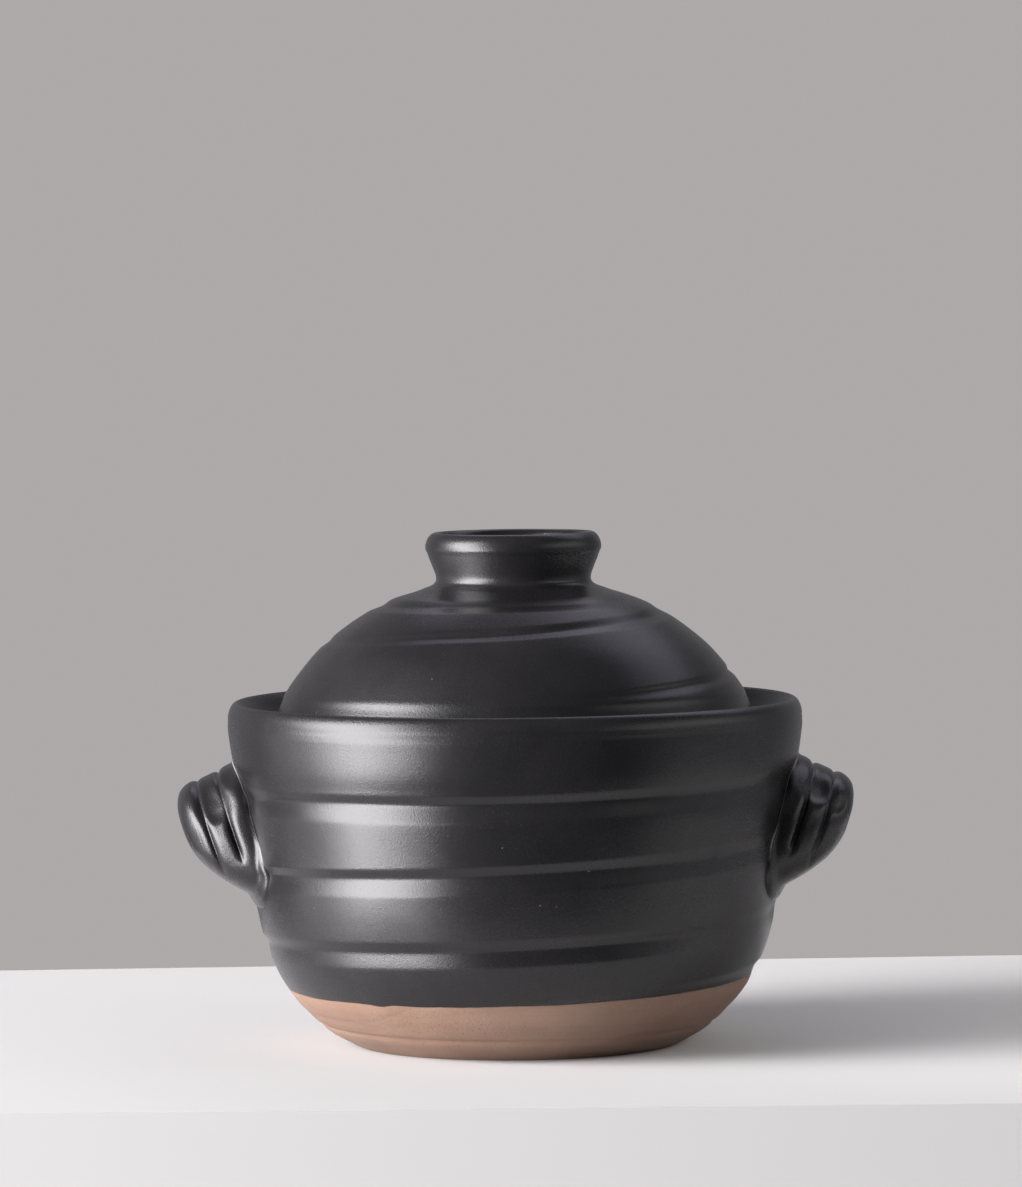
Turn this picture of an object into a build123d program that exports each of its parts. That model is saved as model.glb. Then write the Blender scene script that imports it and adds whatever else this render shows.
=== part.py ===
from build123d import *
import os
from math import cos, exp, pi, sin

# A double-lidded earthenware rice pot, in millimetres, +Z up.
# The origin is the centre of the foot on the surface that the pot stands on.
# +X is the right-hand handle, and the pot is seen from -Y.

# Driving dimensions of the pot
rim_radius = 115.0
pot_height = 137.25
wall_thickness = 9.5
floor_thickness = 12.0
foot_ring_width = 13.0
foot_recess_depth = 2.0

# Driving dimensions of the collar that carries the two lids: widths in from the outside of the
# rim, and depths below its crest
rim_crest_width = 4.4
rim_round_depth = 1.4
collar_throat_width = 9.0
collar_throat_depth = 7.65
outer_seat_depth = 13.25
outer_seat_width = 6.0
inner_seat_drop = 12.0
inner_seat_width = 6.0
seat_lip_thickness = 7.0
seat_underside_drop = 15.0
gutter_rise = 2.0
lid_clearance = 1.5

# Driving dimensions of the outer lid and its ring knob
outer_lid_inset = 19.4
outer_lid_rise = 60.4
outer_lid_wall = 7.5
lid_foot_width = 6.5
knob_height = 23.15
knob_radius = 35.3
knob_wall = 6.6
steam_hole_radius = 4.5

# Driving dimensions of the inner lid and its button knob
inner_lid_edge_height = 4.6
inner_lid_wall = 6.5
inner_lid_rise = 12.0
button_seat_radius = 11.0
button_radius = 15.0
button_height = 15.0

# Driving dimensions of the handles
handle_half_width = 36.5
handle_half_height = 30.0
handle_reach = 20.9
handle_root_inset = 5.0
handle_middle_depth = 53.8
left_handle_drop = 1.05
handle_lean = 19.0

# The throwing grooves, one rising spiral on the pot and one on the outer lid
pot_groove_depth = 1.5
lid_groove_depth = 1.0
groove_upper_width = 2.5
groove_lower_width = 4.8

# How finely the thrown walls are drawn, and the overrun of every cut
section_points = 48
pot_section_count = 76
lid_section_count = 44
handle_points = 24
slices_per_row = 3
overrun = 10.0

# Outside of the pot from foot to rim: radius as a share of rim_radius, height of pot_height
pot_outline_shares = (
    (0.565, 0.0), (0.655, 0.04), (0.72, 0.088), (0.783, 0.146), (0.837, 0.22), (0.878, 0.307),
    (0.906, 0.417), (0.936, 0.586), (0.969, 0.761), (0.995, 0.893), (1.0, 0.945), (0.996, 0.98),
    (0.974, 1.0),
)

# Where along that outline, as shares of its length, the inside of the wall follows it
inside_shares = (0.12, 0.2, 0.28, 0.38, 0.48, 0.58)

# Outside of the outer lid from its foot to the middle: shares of its radius and of its rise
lid_outline_shares = (
    (0.955, 0.0), (0.978, 0.011), (0.995, 0.04), (1.0, 0.09), (0.997, 0.15), (0.981, 0.222),
    (0.936, 0.343), (0.845, 0.522), (0.766, 0.641), (0.665, 0.759), (0.53, 0.874),
    (0.417, 0.931), (0.318, 0.974), (0.23, 1.0),
)

# Where along that outline, as shares of its length, the inside of the dome follows it
dome_inside_shares = (0.28, 0.42, 0.56, 0.7, 0.84, 0.96)

# Outside of the ring knob from its root to its crest, then down the inside of the ring:
# distance in from the bead as a share of knob_wall, height as a share of knob_height
knob_outside_shares = (
    (-0.6, -0.3), (-0.15, 0.02), (0.34, 0.1), (0.62, 0.2), (0.56, 0.34), (0.27, 0.46),
    (0.04, 0.6), (0.0, 0.72), (0.08, 0.86), (0.34, 0.97), (0.6, 1.0),
)
knob_inside_shares = ((0.6, 1.0), (0.94, 0.93), (1.22, 0.75), (1.5, 0.5), (1.6, 0.0), (1.62, -0.3))

# Button knob from its seat to its crown: shares of button_radius and button_height
button_outline_shares = (
    (0.72, 0.0), (0.6, 0.2), (0.68, 0.38), (0.94, 0.56), (1.0, 0.7), (0.9, 0.87), (0.5, 0.985),
    (0.0, 1.0),
)

# The spiral grooves: number of turns counted from +X, height as a share of the piece's own, and
# the share of the groove's full depth
pot_groove_shares = (
    (-0.3, 0.14, 0.0), (0.0, 0.222, 1.0), (0.5, 0.302, 1.0), (0.75, 0.344, 1.0), (1.0, 0.41, 0.4),
    (1.3, 0.46, 1.0), (1.75, 0.554, 1.0), (2.25, 0.655, 1.0), (2.55, 0.725, 1.0), (2.75, 0.75, 1.0),
    (3.1, 0.785, 0.0),
)
lid_groove_shares = (
    (-0.35, 0.31, 0.0), (0.0, 0.43, 0.5), (0.25, 0.52, 1.0), (0.5, 0.64, 0.6), (0.75, 0.71, 1.0),
    (1.0, 0.81, 0.7), (1.3, 0.885, 0.0),
)

# Slices of a handle from inside the wall outwards, as shares of its reach, half height (above
# and below the middle) and half width: three finger-like ridges with a valley between each
handle_slice_shares = (
    (-0.85, 0.9, -1.1, 0.98), (-0.5, 0.98, -1.12, 1.0), (-0.22, 1.0, -1.02, 1.0),
    (0.0, 0.92, -0.88, 0.9), (0.21, 0.95, -0.73, 0.95), (0.45, 0.885, -0.57, 0.83),
    (0.66, 0.915, -0.45, 0.86), (0.85, 0.81, -0.25, 0.72), (0.96, 0.65, -0.02, 0.52),
    (1.0, 0.49, 0.14, 0.3),
)
handle_roundness = 2.3
handle_widest_share = 0.42

# How far out the steam holes lie, as shares of their lids' radii
outer_steam_hole_share = 0.65
inner_steam_hole_share = 0.5

# Sizes that follow from the driving ones
foot_contact_radius = rim_radius * pot_outline_shares[0][0] - foot_ring_width
rim_crest_radius = rim_radius - rim_crest_width
collar_throat_radius = rim_radius - collar_throat_width
collar_throat_height = pot_height - collar_throat_depth
outer_lid_radius = rim_radius - outer_lid_inset
outer_seat_height = pot_height - outer_seat_depth
outer_seat_radius = outer_lid_radius + lid_clearance
inner_seat_height = outer_seat_height - inner_seat_drop
inner_step_radius = outer_seat_radius - outer_seat_width
inner_lid_radius = inner_step_radius - lid_clearance
mouth_radius = inner_step_radius - inner_seat_width
seat_underside_height = inner_seat_height - seat_lip_thickness - seat_underside_drop
lid_top_height = outer_seat_height + outer_lid_rise
knob_seat_height = lid_top_height - knob_wall / 2
outer_steam_hole_distance = outer_lid_radius * outer_steam_hole_share
inner_steam_hole_distance = inner_lid_radius * inner_steam_hole_share
handle_distance = rim_radius - handle_root_inset
handle_height = pot_height - handle_middle_depth


def scaled(shares, radius, height, base=0.0):
    """Points of an outline in the XZ plane, from shares of a radius and a height."""
    return [Vector(r * radius, 0, base + h * height) for r, h in shares]


def outline(shares, radius, height, base=0.0):
    """The outside of a thrown piece, from its foot to its top."""
    return Spline(*scaled(shares, radius, height, base))


def follow(table, place):
    """The values of a table at a place between its rows."""
    for row, next_row in zip(table, table[1:]):
        if row[0] <= place <= next_row[0]:
            along = (place - row[0]) / (next_row[0] - row[0])
            return [start + (end - start) * along for start, end in zip(row[1:], next_row[1:])]
    return None


def groove_depth(angle, height, path_shares, base, rise, depth):
    """How far a spiral groove sinks into the wall at an angle and a height."""
    deepest = 0.0
    for turn_number in range(int(path_shares[0][0]) - 1, int(path_shares[-1][0]) + 1):
        found = follow(path_shares, turn_number + angle / (2 * pi))
        if found is None:
            continue
        share, strength = found
        above = height - (base + share * rise)
        width = groove_upper_width if above > 0 else groove_lower_width
        deepest = max(deepest, strength * depth * exp(-((above / width) ** 2)))
    return deepest


def inward(line, share, distance):
    """The point that lies a distance inside an outline, square to it."""
    along = line % share
    return line @ share + Vector(-along.Z, 0, along.X) * distance


def thrown_block(line, sections, groove):
    """A solid of revolution with a spiral groove, as thrown on a wheel."""
    rings = []
    turns = [step / section_points for step in range(section_points + 1)]
    for number in range(sections + 1):
        share = number / sections
        height = (line @ share).Z
        points = []
        for turn in turns[:-1]:
            angle = 2 * pi * turn
            depth = 0.0 if number in (0, sections) else groove_depth(angle, height, *groove)
            point = inward(line, share, depth)
            points.append(Vector(point.X * cos(angle), point.X * sin(angle), point.Z))
        rings.append(Wire([Edge.make_spline(points, periodic=True, parameters=turns)]))
    return Solid.make_loft(rings)


def turned(edges):
    """A solid turned about the pot's axis from a closed outline in the XZ plane."""
    return revolve(make_face(edges), Axis.Z)


def pot_block():
    """The pot's outside as a solid, before its inside is cut."""
    line = outline(pot_outline_shares, rim_radius, pot_height)
    return thrown_block(line, pot_section_count, (pot_groove_shares, 0.0, pot_height, pot_groove_depth))


def pot_inside():
    """The cooking space and the stepped collar above it, as the solid that is cut away."""
    outside = outline(pot_outline_shares, rim_radius, pot_height)
    wall_points = [inward(outside, share, wall_thickness) for share in inside_shares]
    top = pot_height + overrun
    collar_points = (
        (rim_crest_radius, 0, top),
        (rim_crest_radius, 0, pot_height - rim_round_depth),
        (collar_throat_radius, 0, collar_throat_height),
        (outer_seat_radius, 0, outer_seat_height + gutter_rise),
        (outer_seat_radius, 0, outer_seat_height),
        (inner_step_radius, 0, outer_seat_height),
        (inner_step_radius, 0, inner_seat_height),
        (mouth_radius, 0, inner_seat_height),
        (mouth_radius, 0, inner_seat_height - seat_lip_thickness),
        (inside_radius(outside, seat_underside_height), 0, seat_underside_height),
    )
    collar = Polyline(*collar_points)
    floor_edge = Vector(foot_contact_radius, 0, floor_thickness)
    wall = Spline(floor_edge, *wall_points, collar @ 1, tangents=[(1, 0, 0), (0, 0, 1)])
    return turned([
        Line((0, 0, floor_thickness), floor_edge),
        wall,
        collar,
        Line((rim_crest_radius, 0, top), (0, 0, top)),
        Line((0, 0, top), (0, 0, floor_thickness)),
    ])


def inside_radius(outside, height):
    """The radius of the pot's inside at a height on its straight wall."""
    level = Line((0, 0, height), (rim_radius + overrun, 0, height))
    return max(vertex.X for vertex in outside.intersect(level)) - wall_thickness


def pot_body(block):
    """The thrown pot with its cooking space, its collar and its recessed foot."""
    recess = Cylinder(foot_contact_radius, 2 * foot_recess_depth)
    return block - pot_inside() - recess


def between(rows, place):
    """A smooth value for each column of a table, at a place counted in rows."""
    row = min(int(place), len(rows) - 2)
    t = place - row
    before, start, end, after = (rows[min(max(row + step, 0), len(rows) - 1)] for step in (-1, 0, 1, 2))
    return [
        start[k] + 0.5 * t * (end[k] - before[k] + t * (
            2 * before[k] - 5 * start[k] + 4 * end[k] - after[k]
            + t * (3 * start[k] - before[k] - 3 * end[k] + after[k])))
        for k in range(len(start))
    ]


def handle_slice(reach_share, top_share, bottom_share, width_share):
    """One rounded slice of a handle, in the handle's own leaning frame."""
    top = top_share * handle_half_height
    bottom = bottom_share * handle_half_height
    middle = bottom + handle_widest_share * (top - bottom)
    points = []
    turns = [step / handle_points for step in range(handle_points + 1)]
    for turn in turns[:-1]:
        angle = 2 * pi * turn
        across = abs(cos(angle)) ** (2 / handle_roundness)
        up = abs(sin(angle)) ** (2 / handle_roundness)
        side = width_share * handle_half_width * (across if cos(angle) > 0 else -across)
        rise = (top - middle) * up if sin(angle) > 0 else (bottom - middle) * up
        points.append(Vector(reach_share * handle_reach, side, middle + rise))
    return Wire([Edge.make_spline(points, periodic=True, parameters=turns)])


def handle(block, drop):
    """A solid lug of three ridges, cut to the curve of the wall that it is luted to."""
    steps = (len(handle_slice_shares) - 1) * slices_per_row
    rows = [between(handle_slice_shares, step / slices_per_row) for step in range(steps + 1)]
    lug = Solid.make_loft([handle_slice(*row) for row in rows], ruled=True)
    place = Location((handle_distance, 0, handle_height - drop), (0, handle_lean, 0))
    return lug.moved(place) - block


def lid_block():
    """The outer lid's outside as a solid, before its inside is cut."""
    line = outline(lid_outline_shares, outer_lid_radius, outer_lid_rise, outer_seat_height)
    groove = (lid_groove_shares, outer_seat_height, outer_lid_rise, lid_groove_depth)
    return thrown_block(line, lid_section_count, groove)


def outer_lid(block):
    """The domed outer lid with its steam hole behind the knob."""
    outside = outline(lid_outline_shares, outer_lid_radius, outer_lid_rise, outer_seat_height)
    dome_points = [inward(outside, share, outer_lid_wall) for share in dome_inside_shares]
    crown = Vector(0, 0, lid_top_height - outer_lid_wall)
    foot = Vector(outer_lid_radius * lid_outline_shares[0][0] - lid_foot_width, 0, outer_seat_height)
    below = foot - Vector(0, 0, overrun)
    hollow = turned([
        Line((0, 0, below.Z), below),
        Line(below, foot),
        Spline(foot, *dome_points, crown, tangents=[(0, 0, 1), (-1, 0, 0)]),
        Line(crown, (0, 0, below.Z)),
    ])
    hole = Cylinder(steam_hole_radius, outer_lid_rise, align=(Align.CENTER, Align.CENTER, Align.MIN))
    return block - hollow - Pos(0, outer_steam_hole_distance, outer_seat_height + lid_foot_width) * hole


def outer_lid_knob(block):
    """The ring-shaped knob, open at the top, cut to the lid that it is luted to."""
    outside, inside = (
        Spline(*[(knob_radius - r * knob_wall, 0, knob_seat_height + h * knob_height) for r, h in shares])
        for shares in (knob_outside_shares, knob_inside_shares)
    )
    return turned([outside, inside, Line(inside @ 1, outside @ 0)]) - block


def inner_lid():
    """The shallow inner lid with two steam holes and a level seat for its button knob."""
    edge_top = inner_seat_height + inner_lid_edge_height
    crown = inner_seat_height + inner_lid_wall + inner_lid_rise
    disc = turned([
        Line((0, 0, crown - inner_lid_wall), (0, 0, crown)),
        Line((0, 0, crown), (button_seat_radius, 0, crown)),
        Spline(
            (button_seat_radius, 0, crown), (mouth_radius, 0, edge_top + gutter_rise),
            tangents=[(1, 0, 0), (1, 0, -inner_lid_rise / mouth_radius)],
        ),
        Line((mouth_radius, 0, edge_top + gutter_rise), (inner_lid_radius, 0, edge_top)),
        Line((inner_lid_radius, 0, edge_top), (inner_lid_radius, 0, inner_seat_height)),
        Line((inner_lid_radius, 0, inner_seat_height), (mouth_radius - lid_clearance, 0, inner_seat_height)),
        Spline(
            (mouth_radius - lid_clearance, 0, inner_seat_height), (0, 0, crown - inner_lid_wall),
            tangents=[(-1, 0, inner_lid_rise / mouth_radius), (-1, 0, 0)],
        ),
    ])
    hole = Cylinder(steam_hole_radius, outer_lid_rise)
    for side in (-1, 1):
        disc -= Pos(side * inner_steam_hole_distance, 0, crown) * hole
    return disc


def inner_lid_knob():
    """The button knob that lifts the inner lid."""
    seat = inner_seat_height + inner_lid_wall + inner_lid_rise
    side = Spline(*scaled(button_outline_shares, button_radius, button_height, seat))
    return turned([
        side,
        Line(side @ 1, (0, 0, seat)),
        Line((0, 0, seat), side @ 0),
    ])


def main():
    body_block = pot_block()
    dome_block = lid_block()
    parts = {
        "pot_body": pot_body(body_block),
        "handle_right": handle(body_block, 0.0),
        "handle_left": handle(Rot(0, 0, 180) * body_block, left_handle_drop).rotate(Axis.Z, 180),
        "outer_lid": outer_lid(dome_block),
        "outer_lid_knob": outer_lid_knob(dome_block),
        "inner_lid": inner_lid(),
        "inner_lid_knob": inner_lid_knob(),
    }
    os.makedirs("parts", exist_ok=True)
    for name, part in parts.items():
        export_step(part, f"parts/{name}.step")


main()
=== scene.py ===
from math import cos, exp, floor, hypot, pi, radians, sin, sqrt

import bmesh
import bpy
from mathutils import Matrix, Vector
from mathutils.bvhtree import BVHTree


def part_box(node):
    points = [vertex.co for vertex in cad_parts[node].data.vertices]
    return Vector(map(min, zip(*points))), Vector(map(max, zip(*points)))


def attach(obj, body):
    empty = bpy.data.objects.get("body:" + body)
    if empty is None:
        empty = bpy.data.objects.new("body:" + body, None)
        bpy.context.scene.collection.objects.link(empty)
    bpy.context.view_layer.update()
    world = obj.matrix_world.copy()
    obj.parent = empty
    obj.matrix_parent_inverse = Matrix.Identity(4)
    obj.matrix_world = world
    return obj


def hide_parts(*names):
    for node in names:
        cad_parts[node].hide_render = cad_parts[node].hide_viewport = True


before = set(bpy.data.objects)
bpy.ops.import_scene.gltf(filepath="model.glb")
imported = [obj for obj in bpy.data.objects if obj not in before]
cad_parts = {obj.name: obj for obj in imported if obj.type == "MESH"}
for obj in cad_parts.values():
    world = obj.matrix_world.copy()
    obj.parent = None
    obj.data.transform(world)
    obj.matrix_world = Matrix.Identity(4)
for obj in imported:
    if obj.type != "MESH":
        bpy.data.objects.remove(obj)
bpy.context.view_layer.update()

# Sizes in metres, read from the frame where its boxes give them
pot_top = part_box("pot_body")[1]
rim_radius = pot_top.x
pot_height = pot_top.z
outer_lid_low, outer_lid_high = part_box("outer_lid")
outer_lid_radius = outer_lid_high.x
outer_seat_height = outer_lid_low.z
outer_lid_rise = outer_lid_high.z - outer_lid_low.z
knob_low, knob_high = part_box("outer_lid_knob")
knob_radius = 0.0353
inner_lid_low, inner_lid_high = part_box("inner_lid")
inner_lid_radius = inner_lid_high.x
inner_seat_height = inner_lid_low.z
inner_lid_crown = inner_lid_high.z
button_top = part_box("inner_lid_knob")[1]

# Walls, seats and holes of the pot and its lids
wall_thickness = 0.0095
floor_thickness = 0.012
foot_contact_radius = 0.052
foot_recess_depth = 0.002
lid_clearance = 0.0015
seat_width = 0.006
seat_lip_thickness = 0.007
seat_underside_height = 0.09
gutter_rise = 0.002
throat_radius = 0.106
throat_height = 0.1296
rim_inside_radius = 0.1094
outer_lid_wall = 0.0075
lid_foot_width = 0.0065
lid_foot_bevel = 0.002
lid_foot_top = 0.135
inner_lid_wall = 0.0065
inner_lid_edge_height = 0.0046
inner_rings_start = (0.012, 0.02)
inner_under_height = 0.003
button_seat_radius = 0.011
steam_hole_radius = 0.0045
outer_steam_hole = (0.0, 0.062)
inner_steam_holes = ((-0.045, 0.0), (0.045, 0.0))
# Heights between which they are drilled
outer_drill = (outer_seat_height + 0.01, pot_height + 0.06)
inner_drill = (inner_seat_height - 0.005, inner_lid_crown + 0.01)
outer_seat_radius = outer_lid_radius + lid_clearance
inner_step_radius = outer_seat_radius - seat_width
mouth_radius = inner_step_radius - seat_width
seat_flare = 0.002
floor_round_width = 0.012
floor_round_rise = 0.0006
# Stretches of the outsides that the insides follow, in shares of their points
pot_inside_stretch = (0.13, 0.62)
lid_inside_stretch = (0.22, 0.97)

# Outside of the pot from foot to rim: shares of rim_radius and of pot_height
pot_outline_shares = (
    (0.565, 0.0), (0.655, 0.04), (0.72, 0.088), (0.783, 0.146), (0.837, 0.22), (0.878, 0.307),
    (0.907, 0.417), (0.938, 0.586), (0.9715, 0.761), (0.9955, 0.893), (1.0, 0.94), (0.996, 0.972),
    (0.983, 0.9935), (0.969, 1.0),
)
# Outside of the outer lid from its foot to the middle: shares of its radius and of its rise
lid_outline_shares = (
    (0.955, 0.0), (0.976, 0.012), (0.992, 0.045), (0.997, 0.09), (0.9935, 0.15), (0.981, 0.2),
    (0.9585, 0.27), (0.933, 0.343), (0.842, 0.522), (0.762, 0.641), (0.661, 0.758), (0.53, 0.874),
    (0.417, 0.932), (0.33, 0.975), (0.2, 0.99), (0.0, 0.996),
)
# Ring knob, from its root over its crest to the foot of its hollow: shares of its radius, height
knob_outline_shares = (
    (1.13, -0.06), (1.03, 0.03), (0.957, 0.07), (0.908, 0.112), (0.884, 0.155), (0.877, 0.205),
    (0.882, 0.26), (0.895, 0.32), (0.921, 0.42), (0.955, 0.55), (0.98, 0.655), (0.996, 0.705),
    (0.9985, 0.765), (0.988, 0.84), (0.962, 0.92), (0.92, 0.98), (0.875, 0.996), (0.832, 0.975),
    (0.797, 0.9), (0.765, 0.72), (0.738, 0.5), (0.726, 0.3), (0.716, 0.16), (0.68, 0.06),
    (0.6, -0.05),
)
# Button knob of the inner lid, from its seat to its crown
button_outline_shares = (
    (0.72, 0.0), (0.61, 0.12), (0.6, 0.26), (0.7, 0.4), (0.93, 0.55), (0.995, 0.69), (0.93, 0.85),
    (0.7, 0.95), (0.4, 0.99), (0.0, 0.998),
)
# Underside and top of the inner lid: shares of the mouth's radius, and of the fall from the crown
inner_under_shares = ((0.35, 0.12), (0.7, 0.52))
inner_top_shares = ((0.75, 0.52), (0.4, 0.13))
inner_shoulder_lift = 0.0008

# Spiral grooves of the thrower's fingers: turns from +X, shares of the height, shares of the depth
pot_groove_shares = (
    (-0.35, 0.125, 0.0), (0.0, 0.222, 0.8), (0.25, 0.262, 1.0), (0.5, 0.3, 0.95), (0.66, 0.326, 1.05),
    (0.75, 0.34, 1.35), (0.8, 0.349, 1.35), (0.87, 0.362, 0.5), (0.93, 0.376, 0.15), (1.0, 0.402, 0.35),
    (1.3, 0.46, 1.0), (1.5, 0.505, 1.0), (1.75, 0.555, 1.0), (1.85, 0.576, 0.8), (1.92, 0.592, 0.25),
    (2.0, 0.608, 0.15), (2.25, 0.655, 0.8), (2.5, 0.72, 0.55), (2.62, 0.745, 1.0), (2.75, 0.752, 1.0),
    (2.82, 0.761, 0.75), (2.88, 0.77, 0.3), (3.0, 0.785, 0.3), (3.2, 0.8, 0.0),
)
lid_groove_shares = (
    (-0.32, 0.285, 0.0), (-0.2, 0.315, 0.25), (-0.1, 0.365, 0.8), (0.0, 0.41, 0.9), (0.25, 0.52, 1.0),
    (0.5, 0.622, 0.55), (0.6, 0.655, 0.6), (0.68, 0.69, 0.9), (0.75, 0.715, 1.2), (0.85, 0.76, 1.2),
    (0.95, 0.795, 0.9), (1.05, 0.82, 0.4), (1.25, 0.838, 0.5), (1.5, 0.857, 0.9), (1.75, 0.88, 0.9),
    (2.0, 0.892, 0.3), (2.1, 0.895, 0.0),
)
# Section of a groove: where its slopes end, and how soft its crease and its upper edges are
groove_reach = 1.15
crease_softness = 0.03
groove_edge_softness = 0.12

# Rings turned into the outsides: height, depth (raised where it is negative) and width
pot_rings = (
    (0.0086, 0.0006, 0.0009), (0.014, 0.00012, 0.0012), (0.1305, 0.00016, 0.0007),
    (0.1288, 0.00012, 0.0006), (0.1055, 0.0007, 0.006),
)
lid_rings = ((0.1402, -0.0004, 0.0017), (0.184, 0.0001, 0.0012))
ring_wander = 0.002
fine_unevenness = 0.0002
outside_sink = 0.00008
root_fade = (0.0005, 0.002)

# Handles: slices in shares of the reach, of the height above and below the middle, and of the width
handle_half_width = 0.0375
handle_half_height = 0.030
handle_reach = 0.02015
handle_distance = 0.110
handle_height = 0.08345
left_handle_drop = 0.00105
handle_lean = radians(19.0)
handle_slice_shares = (
    (-0.55, 1.01, -1.1, 1.01), (-0.215, 1.0, -0.98, 1.0),
    (0.01, 0.98, -0.84, 0.97), (0.235, 0.96, -0.68, 0.924), (0.46, 0.95, -0.515, 0.868),
    (0.65, 0.94, -0.35, 0.802), (0.84, 0.87, -0.145, 0.685), (0.955, 0.735, 0.07, 0.52),
    (0.995, 0.58, 0.22, 0.29), (1.0, 0.4, 0.38, 0.02),
)
handle_widest_share = 0.4
upper_roundness = 2.35
lower_roundness = 2.8
ridge_centres = (-0.0046, 0.0048, 0.0136)
ridge_half_width = 0.0047
ridge_depth = 0.0034
ridge_fullness = 0.97
ridge_squareness = 3.4
ridge_crown_share = 0.35
ridge_crown_range = (0.6, 1.0)
# The ridges end above a smooth band: its height at the middle of the reach, and its slope
band_height = -0.0066
band_slope = -0.42
band_softness = 0.003
# Where the fingers pressed: reach, height, depth, and size along both. At the back they are weaker
back_dent_share = 0.5
left_dents = (
    (0.004, 0.0188, 0.0029, 0.0066, 0.0072), (-0.004, 0.0265, 0.0007, 0.003, 0.003),
)
right_dents = (
    (0.0032, 0.0212, 0.0026, 0.0058, 0.0046), (0.0125, 0.0185, 0.0014, 0.0036, 0.004),
    (-0.0046, 0.0235, 0.0007, 0.0035, 0.004),
)
# The root where a handle meets the wall: how deep it goes in, how far it flares and how far out
root_depth = 0.005
root_fillet = 0.0012
root_reach = 0.002
# A smear down its sides and a tail below it: flare, range below the middle, reach off the wall
root_smear = 0.003
smear_range = (0.004, 0.02)
smear_reach = 0.004
root_tail = 0.0024
tail_range = (0.016, 0.027)
tail_reach = 0.005
# The pot's wall near the handles lies outside this radius
wall_inner_radius = 0.09

# The glaze line: a plane tilted and bent by how the pot was dipped, with small waves and one drip
glaze_line_height = 0.0243
glaze_line_tilt = 0.0207
glaze_line_bend = 0.0925
glaze_line_wave = 0.0011
glaze_line_softness = 0.00015
drip_place = -0.053
drip_width = 0.0035
drip_length = 0.0008
glaze_thickness = 0.00045
# Edges of the bare clay inside the pot, and the cone that its glazed cavity lies in
bare_edge = 0.001
seat_edge = (-0.0006, 0.0004)
seat_softness = 0.0006
lid_ring_edge = (0.0004, 0.001)
cavity_slope = 0.9
cavity_radius = 0.06
# A pale line painted along the upper part of a handle's joint as a painted highlight, for the glint of
# the glaze there: its place off the wall, and where it ends
glint_line_offset = 0.00035
glint_line_width = 0.0002
glint_line_heights = (0.0735, 0.0775)
glint_line_strength = 0.9
# Turned rings that show through the glaze below the rim
rim_rings_height = 0.1292
rim_rings_width = 0.0035

# Colours and roughness of the glaze and the clay
glaze_dark = (0.0042, 0.004, 0.0046, 1)
glaze_pale = (0.0068, 0.0064, 0.0072, 1)
glaze_grain = (0.018, 0.017, 0.019, 1)
glaze_fleck = (0.16, 0.15, 0.14, 1)
# Painted highlight: the pale colour of a line along a handle's joint, standing in for the glint there
glint_line_colour = (0.22, 0.205, 0.198, 1)
clay_dark = (0.172, 0.101, 0.069, 1)
clay_pale = (0.21, 0.131, 0.094, 1)
clay_turned = (0.144, 0.088, 0.064, 1)
clay_sand = (0.26, 0.18, 0.14, 1)
clay_pit = (0.072, 0.043, 0.032, 1)
glaze_roughness = 0.26
handle_roughness = 0.27
clay_roughness = 0.66
ceramic_index = 1.5
# Scales of the noise in them
cloud_scale = 26.0
grain_scale = 2200.0
peel_scale = 1250.0
fleck_scale = 210.0
fleck_group_scale = 90.0
patch_scale = 32.0
sand_scale = 900.0
pit_scale = 520.0
# Heights of their fine relief
grain_relief = 0.000042
peel_relief = 0.00006
rim_rings_relief = 0.00035
sand_relief = 0.00018
turned_relief = 0.00012
pit_relief = 0.00012
relief_strength = 0.8

# Fineness of the meshes
segments = 232
inner_lid_segments = 240
button_segments = 120
fine_step = 0.0004
outside_step = 0.00065
edge_step = 0.0009
inner_lid_step = 0.0013
ring_knob_step = 0.0007
button_step = 0.0006
inside_step = 0.003
softening_passes = 5
# Points over which the relief fades in at the ends of an outside
pot_fade_in, pot_fade_out, lid_fade = 12, 6, 10
# The handles' mesh: its size, how it closes inside the wall, and how it is smoothed
handle_segments = 176
rows_per_slice = 13
buried_scales = (0.25, 0.5, 0.75, 0.9)
handle_smoothing = 0.35
handle_smoothing_passes = 2
# Lips of the steam holes, and the angle from which an edge stays sharp
hole_segments = 64
lip_reach = 0.0012
lip_depth = 0.0009
sharp_angle = radians(50)


# Node trees, written as sums and products

class Signal:
    """A value that varies over a surface, with sums and products written as Python."""

    def __init__(self, graph, socket):
        self.graph = graph
        self.socket = socket

    def math(self, operation, other=None, swapped=False):
        pair = (other, self) if swapped else (self, other)
        return self.graph.node("ShaderNodeMath", {"operation": operation}, dict(enumerate(pair)))

    def __add__(self, other):
        return self.math("ADD", other)

    def __sub__(self, other):
        return self.math("SUBTRACT", other)

    def __mul__(self, other):
        return self.math("MULTIPLY", other)

    def __truediv__(self, other):
        return self.math("DIVIDE", other)

    def __radd__(self, other):
        return self.math("ADD", other)

    def __rsub__(self, other):
        return self.math("SUBTRACT", other, swapped=True)

    def __rmul__(self, other):
        return self.math("MULTIPLY", other)

    def __neg__(self):
        return self * -1.0

    def ease(self, low, high):
        """0 at low, 1 at high, smooth between them."""
        settings = {"interpolation_type": "SMOOTHSTEP"}
        return self.graph.node("ShaderNodeMapRange", settings, {0: self, 1: low, 2: high})

    def bell(self, width):
        """1 where the value is 0, falling off smoothly over a width."""
        ratio = self / width
        return (-(ratio * ratio)).math("EXPONENT")


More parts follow.
